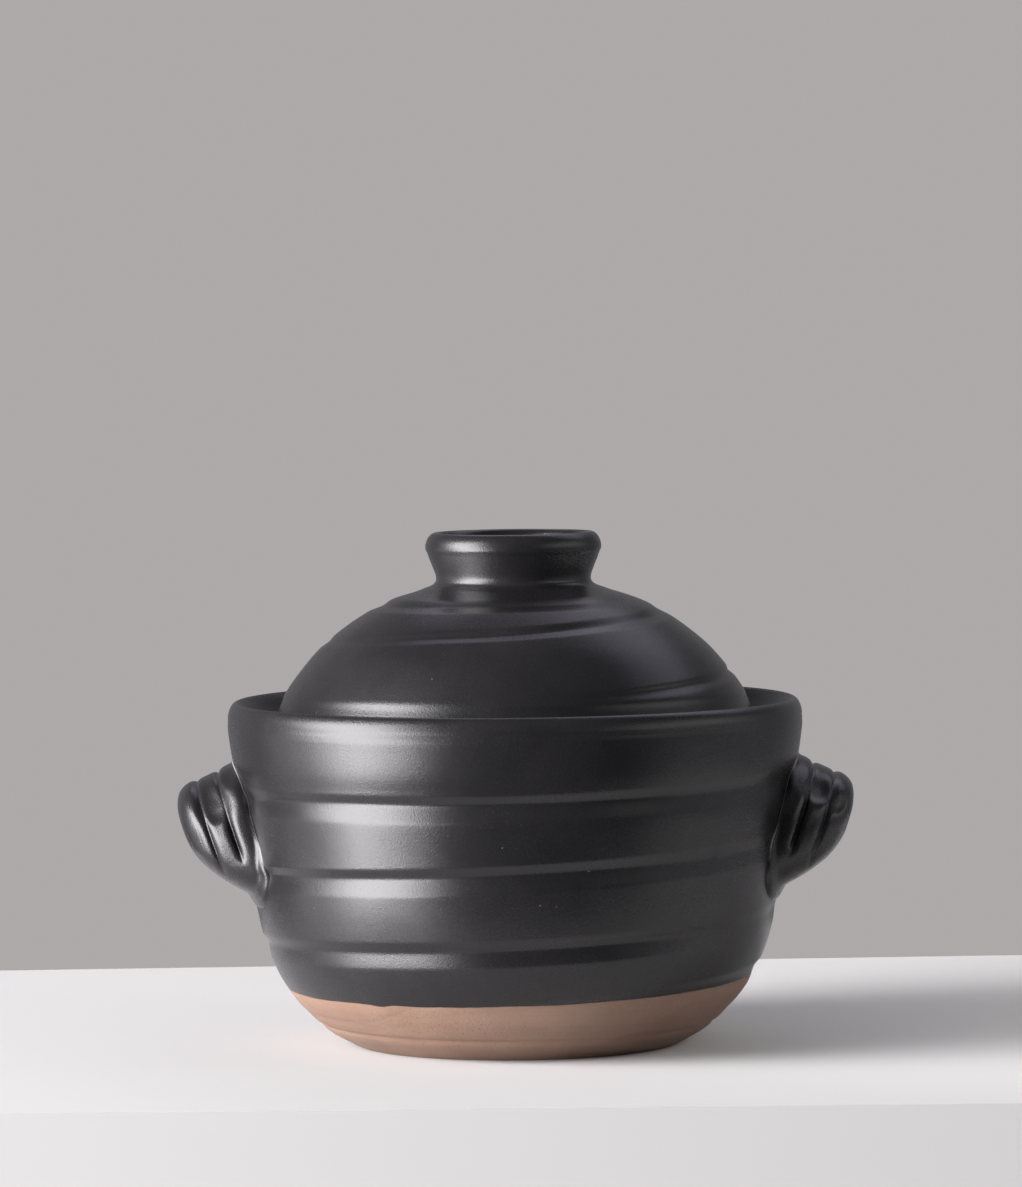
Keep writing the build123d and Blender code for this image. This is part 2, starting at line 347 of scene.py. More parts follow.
class Graph:
    """A node tree under construction."""

    def __init__(self, tree):
        self.tree = tree

    def node(self, kind, settings=None, inputs=None, out=0):
        """Adds one node: its settings first, then the values or links of its sockets."""
        made = self.tree.nodes.new(kind)
        for name, value in (settings or {}).items():
            if name == "stops":
                self.set_stops(made.color_ramp.elements, value)
            elif name == "curve":
                self.set_curve(made.mapping, value)
            else:
                setattr(made, name, value)
        for name, value in (inputs or {}).items():
            if isinstance(value, Signal):
                self.tree.links.new(value.socket, made.inputs[name])
            elif value is not None:
                made.inputs[name].default_value = value
        return Signal(self, made.outputs[out]) if made.outputs else made

    def set_stops(self, elements, stops):
        while len(elements) < len(stops):
            elements.new(1.0)
        for element, (position, colour) in zip(elements, stops):
            element.position = position
            element.color = (*colour, 1.0)

    def set_curve(self, mapping, points):
        curve = mapping.curves[0]
        while len(curve.points) < len(points):
            curve.points.new(0.5, 0.5)
        for point, place in zip(curve.points, points):
            point.location = place
        mapping.update()

    def mix(self, factor, first, second):
        """A colour between two colours."""
        return self.node(
            "ShaderNodeMix", {"data_type": "RGBA"}, {0: factor, 6: first, 7: second}, out=2)

    def noise(self, place, scale, detail=2.0, roughness=0.5):
        inputs = {"Vector": place, "Scale": scale, "Detail": detail, "Roughness": roughness}
        return self.node("ShaderNodeTexNoise", {}, inputs)

    def split(self, vector):
        """The x, y and z of a vector."""
        first = self.node("ShaderNodeSeparateXYZ", {}, {0: vector})
        return [Signal(self, first.socket.node.outputs[axis]) for axis in range(3)]


# Outlines and turned meshes

def shaped(shares, radius, height, base=0.0):
    """Points of an outline, from shares of a radius and a height."""
    return [Vector((r * radius, base + h * height)) for r, h in shares]


def through(before, start, end, after, t):
    """A value or point between start and end, on a smooth line through all four."""
    bend = 2 * before - 5 * start + 4 * end - after
    twist = 3 * start - before - 3 * end + after
    return start + 0.5 * t * (end - before + t * (bend + t * twist))


def smooth_line(points, step=fine_step):
    """Close points along a smooth line through the given ones."""
    path = []
    last = len(points) - 1
    for number in range(last):
        before, start, end, after = (points[min(max(number + k, 0), last)] for k in (-1, 0, 1, 2))
        count = max(2, round((end - start).length / step))
        path += [through(before, start, end, after, part / count) for part in range(count)]
    path.append(points[-1])
    return path


def spaced(path, spacing):
    """The path walked again at a spacing that may depend on the place."""
    kept = [path[0]]
    walked = 0.0
    for previous, point in zip(path, path[1:]):
        walked += (point - previous).length
        if walked >= spacing(point):
            kept.append(point)
            walked = 0.0
    if (kept[-1] - path[-1]).length < 0.3 * spacing(path[-1]):
        kept.pop()
    kept.append(path[-1])
    return kept


def softened(path, passes):
    """The path with its corners rounded, as glaze rounds them, and its ends kept."""
    even = spaced(smooth_line(path), lambda point: fine_step)
    for _ in range(passes):
        even = [even[0]] + [
            (a + 2 * b + c) / 4 for a, b, c in zip(even, even[1:], even[2:])
        ] + [even[-1]]
    return even


def corners(points):
    """Points along straight runs between corners, close enough to be softened."""
    path = []
    for start, end in zip(points, points[1:]):
        count = max(1, round((end - start).length / fine_step))
        path += [start.lerp(end, part / count) for part in range(count)]
    path.append(points[-1])
    return path


def turned_mesh(line, marks, around=segments, closed=False):
    """A line with a mark at each point, turned about the Z axis; a closed line gives a ring."""
    rings = []
    places = []
    values = []
    for point, mark in zip(line, marks):
        count = 1 if point.x < fine_step / 10 else around
        rings.append([len(places) + k for k in range(count)])
        for k in range(count):
            angle = 2 * pi * k / around
            radius = point.x if count > 1 else 0.0
            places.append((radius * cos(angle), radius * sin(angle), point.y))
            values.append(mark)
    faces = []
    for lower, upper in zip(rings, rings[1:] + rings[:closed]):
        for k in range(around):
            near, far = k, (k + 1) % around
            if len(lower) == 1:
                faces.append((lower[0], upper[far], upper[near]))
            elif len(upper) == 1:
                faces.append((lower[near], lower[far], upper[0]))
            else:
                faces.append((lower[near], lower[far], upper[far], upper[near]))
    mesh = bpy.data.meshes.new("turned")
    mesh.from_pydata(places, [], faces)
    layer = mesh.attributes.new("outside", "FLOAT", "POINT")
    layer.data.foreach_set("value", values)
    mesh.polygons.foreach_set("use_smooth", [True] * len(mesh.polygons))
    return mesh


def new_piece(name, mesh):
    piece = bpy.data.objects.new(name, mesh)
    bpy.context.scene.collection.objects.link(piece)
    return piece


def settle(piece):
    """Turns a piece with modifiers into a plain mesh."""
    graph = bpy.context.evaluated_depsgraph_get()
    mesh = bpy.data.meshes.new_from_object(piece.evaluated_get(graph), depsgraph=graph)
    piece.modifiers.clear()
    old = piece.data
    piece.data = mesh
    bpy.data.meshes.remove(old)
    mesh.name = piece.name


# Relief, cut by node tools

def spiral(graph, place, path_shares, base, rise, depth, upper_width, lower_width):
    """Depth of a finger's spiral groove at a place: two slopes that meet in a soft crease."""
    x, y, z = graph.split(place)
    first, last = path_shares[0][0], path_shares[-1][0]
    turns = last - first
    path = [((turn - first) / turns, share) for turn, share, _ in path_shares]
    strengths = [((turn - first) / turns, strength / 2) for turn, _, strength in path_shares]
    part_turn = (y.math("ARCTAN2", x) / (2 * pi)).math("FRACT")
    deepest = None
    for whole_turns in range(floor(first), floor(last) + 1):
        along = (part_turn + (whole_turns - first)) / turns
        share = graph.node("ShaderNodeFloatCurve", {"curve": path}, {1: along})
        strength = graph.node("ShaderNodeFloatCurve", {"curve": strengths}, {1: along}) * 2.0
        above = z - (base + rise * share)
        away = above.math("MAXIMUM", 0.0) / upper_width - above.math("MINIMUM", 0.0) / lower_width
        crease = (away * away + crease_softness).math("SQRT")
        slope = graph.node(
            "ShaderNodeMath", {"operation": "SMOOTH_MAX"},
            {0: groove_reach - crease, 1: 0.0, 2: groove_edge_softness})
        groove = slope * strength
        deepest = groove if deepest is None else deepest.math("MAXIMUM", groove)
    return deepest * depth


def relief_tool(name, sizes):
    """A node tool with named sizes that sinks a surface by a depth worked out over it."""
    tree = bpy.data.node_groups.new(name, "GeometryNodeTree")
    tree.interface.new_socket("Geometry", in_out="INPUT", socket_type="NodeSocketGeometry")
    for size in sizes:
        tree.interface.new_socket(size, in_out="INPUT", socket_type="NodeSocketFloat")
    tree.interface.new_socket("Geometry", in_out="OUTPUT", socket_type="NodeSocketGeometry")
    graph = Graph(tree)
    start = graph.node("NodeGroupInput")
    values = {s: Signal(graph, start.socket.node.outputs[s]) for s in sizes}
    return graph, start, values


def finish_tool(graph, start, depth, material):
    """Ends a relief tool: the surface sinks along its normals, and takes its material."""
    normal = graph.node("GeometryNodeInputNormal")
    offset = graph.node(
        "ShaderNodeVectorMath", {"operation": "SCALE"}, {0: normal, "Scale": -depth})
    moved = graph.node("GeometryNodeSetPosition", {}, {"Geometry": start, "Offset": offset})
    real = graph.node("GeometryNodeRealizeInstances", {}, {0: moved})
    dressed = graph.node("GeometryNodeSetMaterial", {}, {"Geometry": real, "Material": material})
    graph.node("NodeGroupOutput", {}, {0: dressed})


def run_tool(piece, graph, sizes):
    """Runs a node tool on a piece with its sizes, and keeps the result as a plain mesh."""
    modifier = piece.modifiers.new("relief", "NODES")
    modifier.node_group = graph.tree
    for item in graph.tree.interface.items_tree:
        if item.name in sizes:
            modifier[item.identifier] = sizes[item.name]
    settle(piece)


def outside_mark(graph):
    """1 on the outside of a piece, fading to 0 at its ends and inside."""
    settings = {"data_type": "FLOAT"}
    return graph.node("GeometryNodeInputNamedAttribute", settings, {"Name": "outside"})


def uneven_relief(name, material, scale, detail, root_height=None):
    """A slightly uneven surface, which fades out at a root where one is given."""
    graph, start, size = relief_tool(name, ("Unevenness", "Sink"))
    place = graph.node("GeometryNodeInputPosition")
    depth = (graph.noise(place, scale, detail) - 0.5) * size["Unevenness"] + size["Sink"]
    if root_height is not None:
        depth = depth * (graph.split(place)[2] - root_height).ease(*root_fade)
    finish_tool(graph, start, depth, material)
    return graph


def thrown_relief(material, path_shares, base, rise, rings):
    """The marks of throwing: a spiral groove, fine turned rings and an uneven wall."""
    names = ("Groove depth", "Upper width", "Lower width", "Unevenness")
    graph, start, size = relief_tool("thrown relief", names)
    place = graph.node("GeometryNodeInputPosition")
    groove = spiral(
        graph, place, path_shares, base, rise, size["Groove depth"], size["Upper width"],
        size["Lower width"])
    z = graph.split(place)[2]
    wander = graph.noise(place, 9.0, 1.0) - 0.5
    depth = groove * (1.0 + 0.5 * wander)
    for height, ring_depth, width in rings:
        depth = depth + (z + ring_wander * wander - height).bell(width) * ring_depth
    fine = (graph.noise(place, 28.0, 2.0) - 0.5) * fine_unevenness
    depth = depth + wander * size["Unevenness"] + fine + outside_sink
    finish_tool(graph, start, depth * outside_mark(graph), material)
    return graph


# Glaze and clay

def new_material(name):
    """An empty material, and the graph to fill it with."""
    material = bpy.data.materials.new(name)
    material.use_nodes = True
    material.node_tree.nodes.clear()
    return material, Graph(material.node_tree)


def turned_marks(graph, place):
    """The fine rings that the wheel leaves in the clay."""
    flattened = {"Vector": place, "Scale": (6.0, 6.0, 420.0)}
    return graph.noise(graph.node("ShaderNodeMapping", {}, flattened), 1.0, 3.0)


def painted_glint_line(graph, place):
    """1 along the upper part of a handle's joint, where a pale line is painted as a highlight for the
    glint there.
    """
    clear = graph.node("ShaderNodeAttribute", {"attribute_name": "clear_of_wall"}, {}, out=2)
    upper = graph.split(place)[2].ease(*glint_line_heights)
    glint_shown = graph.noise(place, 70.0, 2.0).ease(0.22, 0.4)
    return (clear - glint_line_offset).bell(glint_line_width) * (upper * glint_shown) * glint_line_strength


def glaze_finish(graph, place, rough, with_glint_line):
    """Colour, roughness and fine relief of the black satin glaze, with a painted highlight along a
    handle's joint where asked.
    """
    cloud = graph.noise(place, cloud_scale, 3.0)
    grain = graph.noise(place, grain_scale, 2.0, 0.65)
    peel = graph.noise(place, peel_scale, 2.0)
    speck = graph.node("ShaderNodeTexVoronoi", {}, {"Vector": place, "Scale": fleck_scale})
    fleck = 1.0 - speck.ease(0.04, 0.09)
    rare = graph.noise(place, fleck_group_scale, 1.0).ease(0.66, 0.7)
    colour = graph.mix(cloud.ease(0.3, 0.7), glaze_dark, glaze_pale)
    colour = graph.mix(grain.ease(0.55, 0.75) * 0.35, colour, glaze_grain)
    colour = graph.mix(fleck * rare * 0.6, colour, glaze_fleck)
    # Painted highlight: a pale line along the handle's joint, for the glint of its glaze
    if with_glint_line:
        colour = graph.mix(painted_glint_line(graph, place), colour, glint_line_colour)
    roughness = rough + (cloud - 0.5) * 0.08 + (grain - 0.5) * 0.12
    return colour, roughness, grain * grain_relief + peel * peel_relief


def clay_finish(graph, place, turned):
    """Colour and fine relief of the bare brown clay."""
    sand = graph.noise(place, sand_scale, 3.0, 0.7)
    patch = graph.noise(place, patch_scale, 4.0)
    grit = graph.node("ShaderNodeTexVoronoi", {}, {"Vector": place, "Scale": pit_scale})
    pit = 1.0 - grit.ease(0.08, 0.2)
    colour = graph.mix(patch.ease(0.3, 0.7), clay_dark, clay_pale)
    colour = graph.mix(turned.ease(0.42, 0.62) * 0.22, colour, clay_turned)
    colour = graph.mix(sand.ease(0.58, 0.72) * 0.5, colour, clay_sand)
    colour = graph.mix(pit * 0.35, colour, clay_pit)
    return colour, sand * sand_relief + turned * turned_relief - pit * pit_relief


def ceramic(name, bare, rough=glaze_roughness, turned_rim=False, with_glint_line=False):
    """Black satin glaze over brown clay, bare where the given function of place says 1."""
    material, graph = new_material(name)
    place = graph.node("ShaderNodeTexCoord", {}, {}, out=3)
    mask = bare(graph, place)
    turned = turned_marks(graph, place)
    glaze, glaze_rough, glaze_height = glaze_finish(graph, place, rough, with_glint_line)
    clay, clay_height = clay_finish(graph, place, turned)

    roughness = glaze_rough * (1.0 - mask) + mask * clay_roughness
    glaze_height = glaze_height * (roughness / glaze_roughness)
    if turned_rim:
        band = (graph.split(place)[2] - rim_rings_height).bell(rim_rings_width)
        glaze_height = glaze_height + turned * band * rim_rings_relief
    height = glaze_height * (1.0 - mask) + (clay_height - glaze_thickness) * mask
    bump = graph.node("ShaderNodeBump", {}, {
        "Height": height, "Distance": 1.0, "Strength": relief_strength})
    shader = graph.node("ShaderNodeBsdfPrincipled", {}, {
        "Base Color": graph.mix(mask, glaze, clay), "Roughness": roughness, "Normal": bump,
        "IOR": ceramic_index})
    graph.node("ShaderNodeOutputMaterial", {}, {"Surface": shader})
    return material


def glaze_line(graph, place):
    """How far above the glaze line a place on the pot lies."""
    x, _, z = graph.split(place)
    wave = (graph.noise(place, 60.0, 3.0) - 0.5) * glaze_line_wave
    drip = (x - drip_place).bell(drip_width) * drip_length
    return z - (x * glaze_line_tilt + x * x * glaze_line_bend + glaze_line_height) + wave + drip


def pot_bare(graph, place):
    """Bare clay on the pot: below the glaze line, and on the two seats that the lids rest on."""
    x, y, z = graph.split(place)
    radius = (x * x + y * y).math("SQRT")
    below = 1.0 - glaze_line(graph, place).ease(-glaze_line_softness, glaze_line_softness)
    above_floor = z.ease(floor_thickness - 4 * bare_edge, floor_thickness - 3 * bare_edge)
    cavity = 1.0 - (radius - (z * cavity_slope + cavity_radius)).ease(0.0, bare_edge)
    past_mouth = (radius - (mouth_radius - 2 * bare_edge)).ease(0.0, bare_edge)
    within_seat = 1.0 - (radius - outer_seat_radius).ease(*seat_edge)
    outer_seat, inner_seat = (
        (z - height).bell(seat_softness) for height in (outer_seat_height, inner_seat_height))
    seats = outer_seat.math("MAXIMUM", inner_seat).ease(0.3, 0.6)
    foot = below * (1.0 - above_floor * cavity)
    return foot.math("MAXIMUM", seats * (past_mouth * within_seat))


def lid_bare(seat_height):
    """Bare clay on a lid: the ring that it rests on."""
    def mask(graph, place):
        return 1.0 - (graph.split(place)[2] - seat_height).ease(*lid_ring_edge)
    return mask


def glazed_all_over(graph, place):
    """No bare clay at all."""
    return graph.split(place)[2] * 0.0


# The pot body

def inset(line, share_from, share_to, distance):
    """Points at a distance inside a line, over a stretch given in shares of its points."""
    found = []
    first, last = round(share_from * (len(line) - 1)), round(share_to * (len(line) - 1))
    for number in range(first, last + 1):
        before, after = line[max(number - 1, 0)], line[min(number + 1, len(line) - 1)]
        along = (after - before).normalized()
        found.append(line[number] + distance * Vector((-along.y, along.x)))
    return found


def pot_mesh():
    """The pot body as one closed wall: foot, outside, rim, stepped collar, inside and floor."""
    side = smooth_line(shaped(pot_outline_shares, rim_radius, pot_height))
    under = corners([
        Vector((0.0, foot_recess_depth)),
        Vector((foot_contact_radius, foot_recess_depth)),
        Vector((foot_contact_radius + foot_recess_depth, 0.0)),
        side[0],
    ])
    wall = inset(side, *pot_inside_stretch, wall_thickness)
    inner_wall = [point for point in wall if point.y < seat_underside_height]
    collar = corners([
        side[-1],
        Vector((rim_inside_radius, pot_height - gutter_rise)),
        Vector((throat_radius, throat_height)),
        Vector((outer_seat_radius + seat_flare, outer_seat_height + gutter_rise)),
        Vector((outer_seat_radius, outer_seat_height)),
        Vector((inner_step_radius, outer_seat_height)),
        Vector((inner_step_radius, inner_seat_height)),
        Vector((mouth_radius, inner_seat_height)),
        Vector((mouth_radius, inner_seat_height - seat_lip_thickness)),
        inner_wall[-1],
    ])
    cavity = inner_wall[::-1]
    bottom = smooth_line([
        cavity[-1],
        Vector((foot_contact_radius + floor_round_width, floor_thickness + floor_round_rise)),
        Vector((foot_contact_radius, floor_thickness)),
        Vector((foot_contact_radius / 2, floor_thickness)),
        Vector((0.0, floor_thickness)),
    ])
    edges = softened(collar + cavity[1:] + bottom[1:], softening_passes)
    foot = softened(under, softening_passes)
    base_line = spaced(foot, lambda point: inside_step)
    side_line = spaced(side, lambda point: outside_step)
    inner_line = spaced(
        edges, lambda point: edge_step if point.y > seat_underside_height else inside_step)
    line = base_line[:-1] + side_line[:-1] + inner_line
    marks = [0.0] * (len(base_line) - 1)
    rise = len(side_line) - 1
    marks += [min(1.0, k / pot_fade_in, (rise - k) / pot_fade_out) for k in range(rise)]
    marks += [0.0] * len(inner_line)
    line[0].x = 0.0
    line[-1].x = 0.0
    return turned_mesh(line, marks)


def make_pot(body):
    material = ceramic("glazed pot", pot_bare, turned_rim=True)
    piece = new_piece("pot_body_shell", pot_mesh())
    graph = thrown_relief(material, pot_groove_shares, 0.0, pot_height, pot_rings)
    run_tool(piece, graph, {
        "Groove depth": 0.0014, "Upper width": 0.0033, "Lower width": 0.0058, "Unevenness": 0.0006})
    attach(piece, body)
    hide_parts("pot_body")
    return piece


# The outer lid and its ring knob

def lid_line():
    """The outer lid's closed outline with its marks: foot, dome and the hollow below it."""
    dome = smooth_line(
        shaped(lid_outline_shares, outer_lid_radius, outer_lid_rise, outer_seat_height))
    hollow = inset(dome, *lid_inside_stretch, outer_lid_wall)[::-1]
    hollow.insert(0, Vector((0.0, hollow[0].y)))
    foot = corners([
        hollow[-1],
        Vector((dome[0].x - lid_foot_width, outer_seat_height + lid_foot_bevel)),
        Vector((dome[0].x - lid_foot_width + lid_foot_bevel, outer_seat_height)),
        dome[0],
    ])
    under = softened(hollow + foot[1:], softening_passes)
    under_line = spaced(
        under, lambda point: inside_step if point.y > lid_foot_top else outside_step)
    dome_line = spaced(dome, lambda point: outside_step)
    line = under_line[:-1] + dome_line
    last = len(dome_line) - 1
    marks = [0.0] * (len(under_line) - 1)
    marks += [min(1.0, k / lid_fade, (last - k) / lid_fade) for k in range(last + 1)]
    return line, marks


def pierce(piece, holes, radius, low, high):
    """Cuts round holes with softened lips through a lid."""
    for vertex in piece.data.vertices:
        for x, y in holes:
            away = hypot(vertex.co.x - x, vertex.co.y - y) - radius
            if away < 5 * lip_reach:
                vertex.co -= vertex.normal * lip_depth * exp(-max(away, 0.0) / lip_reach)
    for x, y in holes:
        drill = bmesh.new()
        bmesh.ops.create_cone(
            drill, cap_ends=True, segments=hole_segments, radius1=radius, radius2=radius,
            depth=high - low)
        bmesh.ops.translate(drill, verts=drill.verts, vec=(x, y, (low + high) / 2))
        mesh = bpy.data.meshes.new("drill")
        drill.to_mesh(mesh)
        drill.free()
        tool = new_piece("drill", mesh)
        cut = piece.modifiers.new("hole", "BOOLEAN")
        cut.operation = "DIFFERENCE"
        cut.solver = "EXACT"
        cut.object = tool
        settle(piece)
        bpy.data.objects.remove(tool)
    piece.data.polygons.foreach_set("use_smooth", [True] * len(piece.data.polygons))
    piece.data.set_sharp_from_angle(angle=sharp_angle)


def make_outer_lid(body):
    material = ceramic("glazed lid", lid_bare(outer_seat_height))
    piece = new_piece("outer_lid_dome", turned_mesh(*lid_line()))
    graph = thrown_relief(
        material, lid_groove_shares, outer_seat_height, outer_lid_rise, lid_rings)
    run_tool(piece, graph, {
        "Groove depth": 0.0009, "Upper width": 0.0016, "Lower width": 0.0024, "Unevenness": 0.0005})
    pierce(piece, [outer_steam_hole], steam_hole_radius, *outer_drill)
    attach(piece, body)
    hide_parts("outer_lid")


def make_ring_knob(body):
    """The ring knob on the outer lid, with its hollow."""
    knob_rise = knob_high.z - knob_low.z
    ring = smooth_line(shaped(knob_outline_shares, knob_radius, knob_rise, knob_low.z))
    ring_line = spaced(ring, lambda point: ring_knob_step)
    closing = corners([ring_line[-1], ring_line[0]])
    loop = ring_line + spaced(closing, lambda point: inside_step)[1:-1]
    knob = new_piece("outer_lid_ring_knob", turned_mesh(loop, [1.0] * len(loop), closed=True))
    material = ceramic("glazed knob", glazed_all_over)
    graph = uneven_relief("knob relief", material, 22.0, 1.0)
    run_tool(knob, graph, {"Unevenness": 0.0005, "Sink": 0.0001})
    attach(knob, body)
    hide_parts("outer_lid_knob")


# The lug handles

def between(rows, place):
    """A smooth value for each column of a table, at a place counted in rows."""
    row = min(int(place), len(rows) - 2)
    near = (rows[min(max(row + step, 0), len(rows) - 1)] for step in (-1, 0, 1, 2))
    return [through(*values, place - row) for values in zip(*near)]


def ramp(value, low, high):
    """0 below low, 1 above high, smooth between them."""
    t = min(max((value - low) / (high - low), 0.0), 1.0)
    return t * t * (3 - 2 * t)


def ridge_sink(reach):
    """How far a handle's surface sinks between two ridges, as a share of the full depth."""
    if reach > ridge_centres[-1]:
        return 0.0
    off = min(abs(reach - centre) for centre in ridge_centres) / ridge_half_width
    return 1.0 - ridge_fullness * sqrt(max(1.0 - off ** ridge_squareness, 0.0))


def slice_point(row, angle, dents):
    """A point on the lug in its own leaning frame: how far out, across and up, and its normal."""
    reach, top, bottom, width = (
        share * size for share, size in zip(
            row, (handle_reach, handle_half_height, handle_half_height, handle_half_width)))
    middle = bottom + handle_widest_share * (top - bottom)
    half, roundness = (
        (top - middle, upper_roundness) if sin(angle) > 0 else (middle - bottom, lower_roundness))
    across = width * abs(cos(angle)) ** (2 / roundness) * (1 if cos(angle) > 0 else -1)
    up = middle + half * abs(sin(angle)) ** (2 / roundness) * (1 if sin(angle) > 0 else -1)
    normal = Vector((
        (across / max(width, fine_step)) * half, (up - middle) / max(half, fine_step) * width))
    normal = normal.normalized() if normal.length > 0 else Vector((0.0, 1.0))
    band = band_height + band_slope * (reach - ridge_centres[1])
    sink = ridge_sink(reach) * ridge_depth * ramp(up, band - band_softness, band + band_softness)
    sink *= 1.0 - ridge_crown_share * ramp(sin(angle), *ridge_crown_range)
    for dent_reach, dent_height, depth, reach_size, height_size in dents:
        gap = hypot((reach - dent_reach) / reach_size, (up - dent_height) / height_size)
        pressed = exp(-gap ** 3) * (1.0 if across < 0 else back_dent_share)
        sink = sink * (1.0 - pressed) + depth * pressed
    return reach, across - normal.x * sink, up - normal.y * sink, normal


def handle_point(drop, wall, row, angle, dents, scale):
    """A point on the right-hand handle, flared where it meets the wall and kept inside it."""
    reach, across, up, normal = slice_point(row, angle, dents)
    across *= scale
    up *= scale
    place = Vector((
        handle_distance + reach * cos(handle_lean) + up * sin(handle_lean), across,
        handle_height - drop - reach * sin(handle_lean) + up * cos(handle_lean)))
    found, facing, _, _ = wall.find_nearest(place)
    clear = (place - found).dot(facing)
    smear = ramp(-up, *smear_range) * abs(normal.x)
    tail = ramp(-up, *tail_range) * abs(normal.y)
    reach_out = root_reach + smear_reach * smear + tail_reach * tail
    flare = root_fillet + root_smear * smear + root_tail * tail
    flare *= (1.0 - ramp(clear, 0.0, reach_out)) ** 2
    place.y += normal.x * flare
    place.z += normal.y * flare * cos(handle_lean)
    radius = hypot(place.x, place.y)
    inner = hypot(found.x, found.y) - root_depth
    if radius < inner:
        place.x *= inner / radius
        place.y *= inner / radius
    return place


def handle_mesh(side, drop, dents, wall):
    """A fist-like lug: three ridges arching over it from front to back."""
    around = handle_segments
    steps = (len(handle_slice_shares) - 1) * rows_per_slice
    rows = [(handle_slice_shares[0], scale) for scale in buried_scales]
    rows += [(between(handle_slice_shares, step / rows_per_slice), 1.0) for step in range(steps + 1)]
    mesh = bmesh.new()
    rings = []
    for row, scale in rows:
        rings.append([
            mesh.verts.new(handle_point(drop, wall, row, 2 * pi * k / around, dents, scale))
            for k in range(around)])
    for ring, next_ring in zip(rings, rings[1:]):
        for k in range(around):
            far = (k + 1) % around
            mesh.faces.new((ring[k], ring[far], next_ring[far], next_ring[k]))
    for ring in (rings[0], rings[-1]):
        mesh.faces.new(ring)
    for _ in range(handle_smoothing_passes):
        bmesh.ops.smooth_vert(
            mesh, verts=mesh.verts, factor=handle_smoothing, use_axis_x=True, use_axis_y=True,
            use_axis_z=True)
    layer = mesh.verts.layers.float.new("clear_of_wall")
    for vertex in mesh.verts:
        found, facing, _, _ = wall.find_nearest(vertex.co)
        vertex[layer] = (vertex.co - found).dot(facing)
    if side < 0:
        bmesh.ops.transform(mesh, matrix=Matrix.Scale(-1, 4, (1, 0, 0)), verts=mesh.verts)
    bmesh.ops.recalc_face_normals(mesh, faces=mesh.faces)
    made = bpy.data.meshes.new("lug")
    mesh.to_mesh(made)
    mesh.free()
    made.polygons.foreach_set("use_smooth", [True] * len(made.polygons))
    return made


def outer_wall(piece, side):
    """The pot's finished surface as seen from a handle, mirrored to the right-hand side."""
    places = [Vector((side * v.co.x, v.co.y, v.co.z)) for v in piece.data.vertices]
    loops = []
    for face in piece.data.polygons:
        centre, normal = face.center, face.normal
        outwards = normal.x * centre.x + normal.y * centre.y > 0
        if outwards and hypot(centre.x, centre.y) > wall_inner_radius:
            loops.append(tuple(face.vertices) if side > 0 else tuple(reversed(face.vertices)))
    return BVHTree.FromPolygons(places, loops)


def make_handle(body, node, name, side, drop, dents, material, pot):
    piece = new_piece(name, handle_mesh(side, drop, dents, outer_wall(pot, side)))
    graph = uneven_relief("hand-formed relief", material, 60.0, 2.0)
    run_tool(piece, graph, {"Unevenness": 0.0007, "Sink": 0.0002})
    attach(piece, body)
    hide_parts(node)


# The inner lid and its button

def inner_lid_line():
    """The inner lid's closed outline: underside, upright edge and ringed top."""
    fall = inner_lid_crown - inner_lid_wall - inner_seat_height
    under_crown = inner_lid_crown - inner_lid_wall
    under = smooth_line([
        Vector((0.0, under_crown)),
        *(Vector((mouth_radius * r, under_crown - h * fall)) for r, h in inner_under_shares),
        Vector((mouth_radius - lid_clearance, inner_seat_height)),
    ])
    edge = corners([
        under[-1],
        Vector((inner_lid_radius, inner_seat_height)),
        Vector((inner_lid_radius, inner_seat_height + inner_lid_edge_height)),
        Vector((mouth_radius, inner_seat_height + inner_lid_edge_height + gutter_rise)),
    ])
    shoulder, slope = (
        Vector((mouth_radius * r, inner_lid_crown - h * fall)) for r, h in inner_top_shares)
    shoulder.y += inner_shoulder_lift
    top = smooth_line([
        edge[-1], shoulder, slope,
        Vector((button_seat_radius, inner_lid_crown)), Vector((0.0, inner_lid_crown)),
    ])
    path = softened(under + edge[1:] + top[1:], softening_passes)
    line = spaced(path, lambda point: inner_lid_step)
    line[0].x = 0.0
    line[-1].x = 0.0
    return line


def make_inner_lid(body):
    material = ceramic("glazed inner lid", lid_bare(inner_seat_height))
    line = inner_lid_line()
    marks = [float(point.y > inner_seat_height + inner_under_height) for point in line]
    piece = new_piece("inner_lid_disc", turned_mesh(line, marks, inner_lid_segments))
    names = ("Ring pitch", "Ring depth", "Unevenness", "Sink")
    graph, start, size = relief_tool("inner lid relief", names)
    place = graph.node("GeometryNodeInputPosition")
    x, y, _ = graph.split(place)
    radius = (x * x + y * y).math("SQRT")
    waves = ((radius / size["Ring pitch"]) * (2 * pi)).math("SINE")
    uneven = (graph.noise(place, 20.0, 1.0) - 0.5) * size["Unevenness"]
    depth = waves * size["Ring depth"] + uneven + size["Sink"]
    depth = depth * outside_mark(graph) * radius.ease(*inner_rings_start)
    finish_tool(graph, start, depth, material)
    run_tool(piece, graph, {
        "Ring pitch": 0.011, "Ring depth": 0.00016, "Unevenness": 0.0004, "Sink": 0.0002})
    pierce(piece, inner_steam_holes, steam_hole_radius, *inner_drill)
    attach(piece, body)
    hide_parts("inner_lid")


def make_button(body):
    """The button knob on the inner lid."""
    height = button_top.z - inner_lid_crown
    side = smooth_line(shaped(button_outline_shares, button_top.x, height, inner_lid_crown))
    line = [Vector((0.0, inner_lid_crown))] + spaced(side, lambda point: button_step)
    line[-1].x = 0.0
    knob = new_piece("inner_lid_button", turned_mesh(line, [1.0] * len(line), button_segments))
    material = ceramic("glazed button", glazed_all_over)
    graph = uneven_relief("button relief", material, 60.0, 1.0, root_height=inner_lid_crown)
    run_tool(knob, graph, {"Unevenness": 0.0003, "Sink": 0.0001})
    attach(knob, body)
    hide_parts("inner_lid_knob")


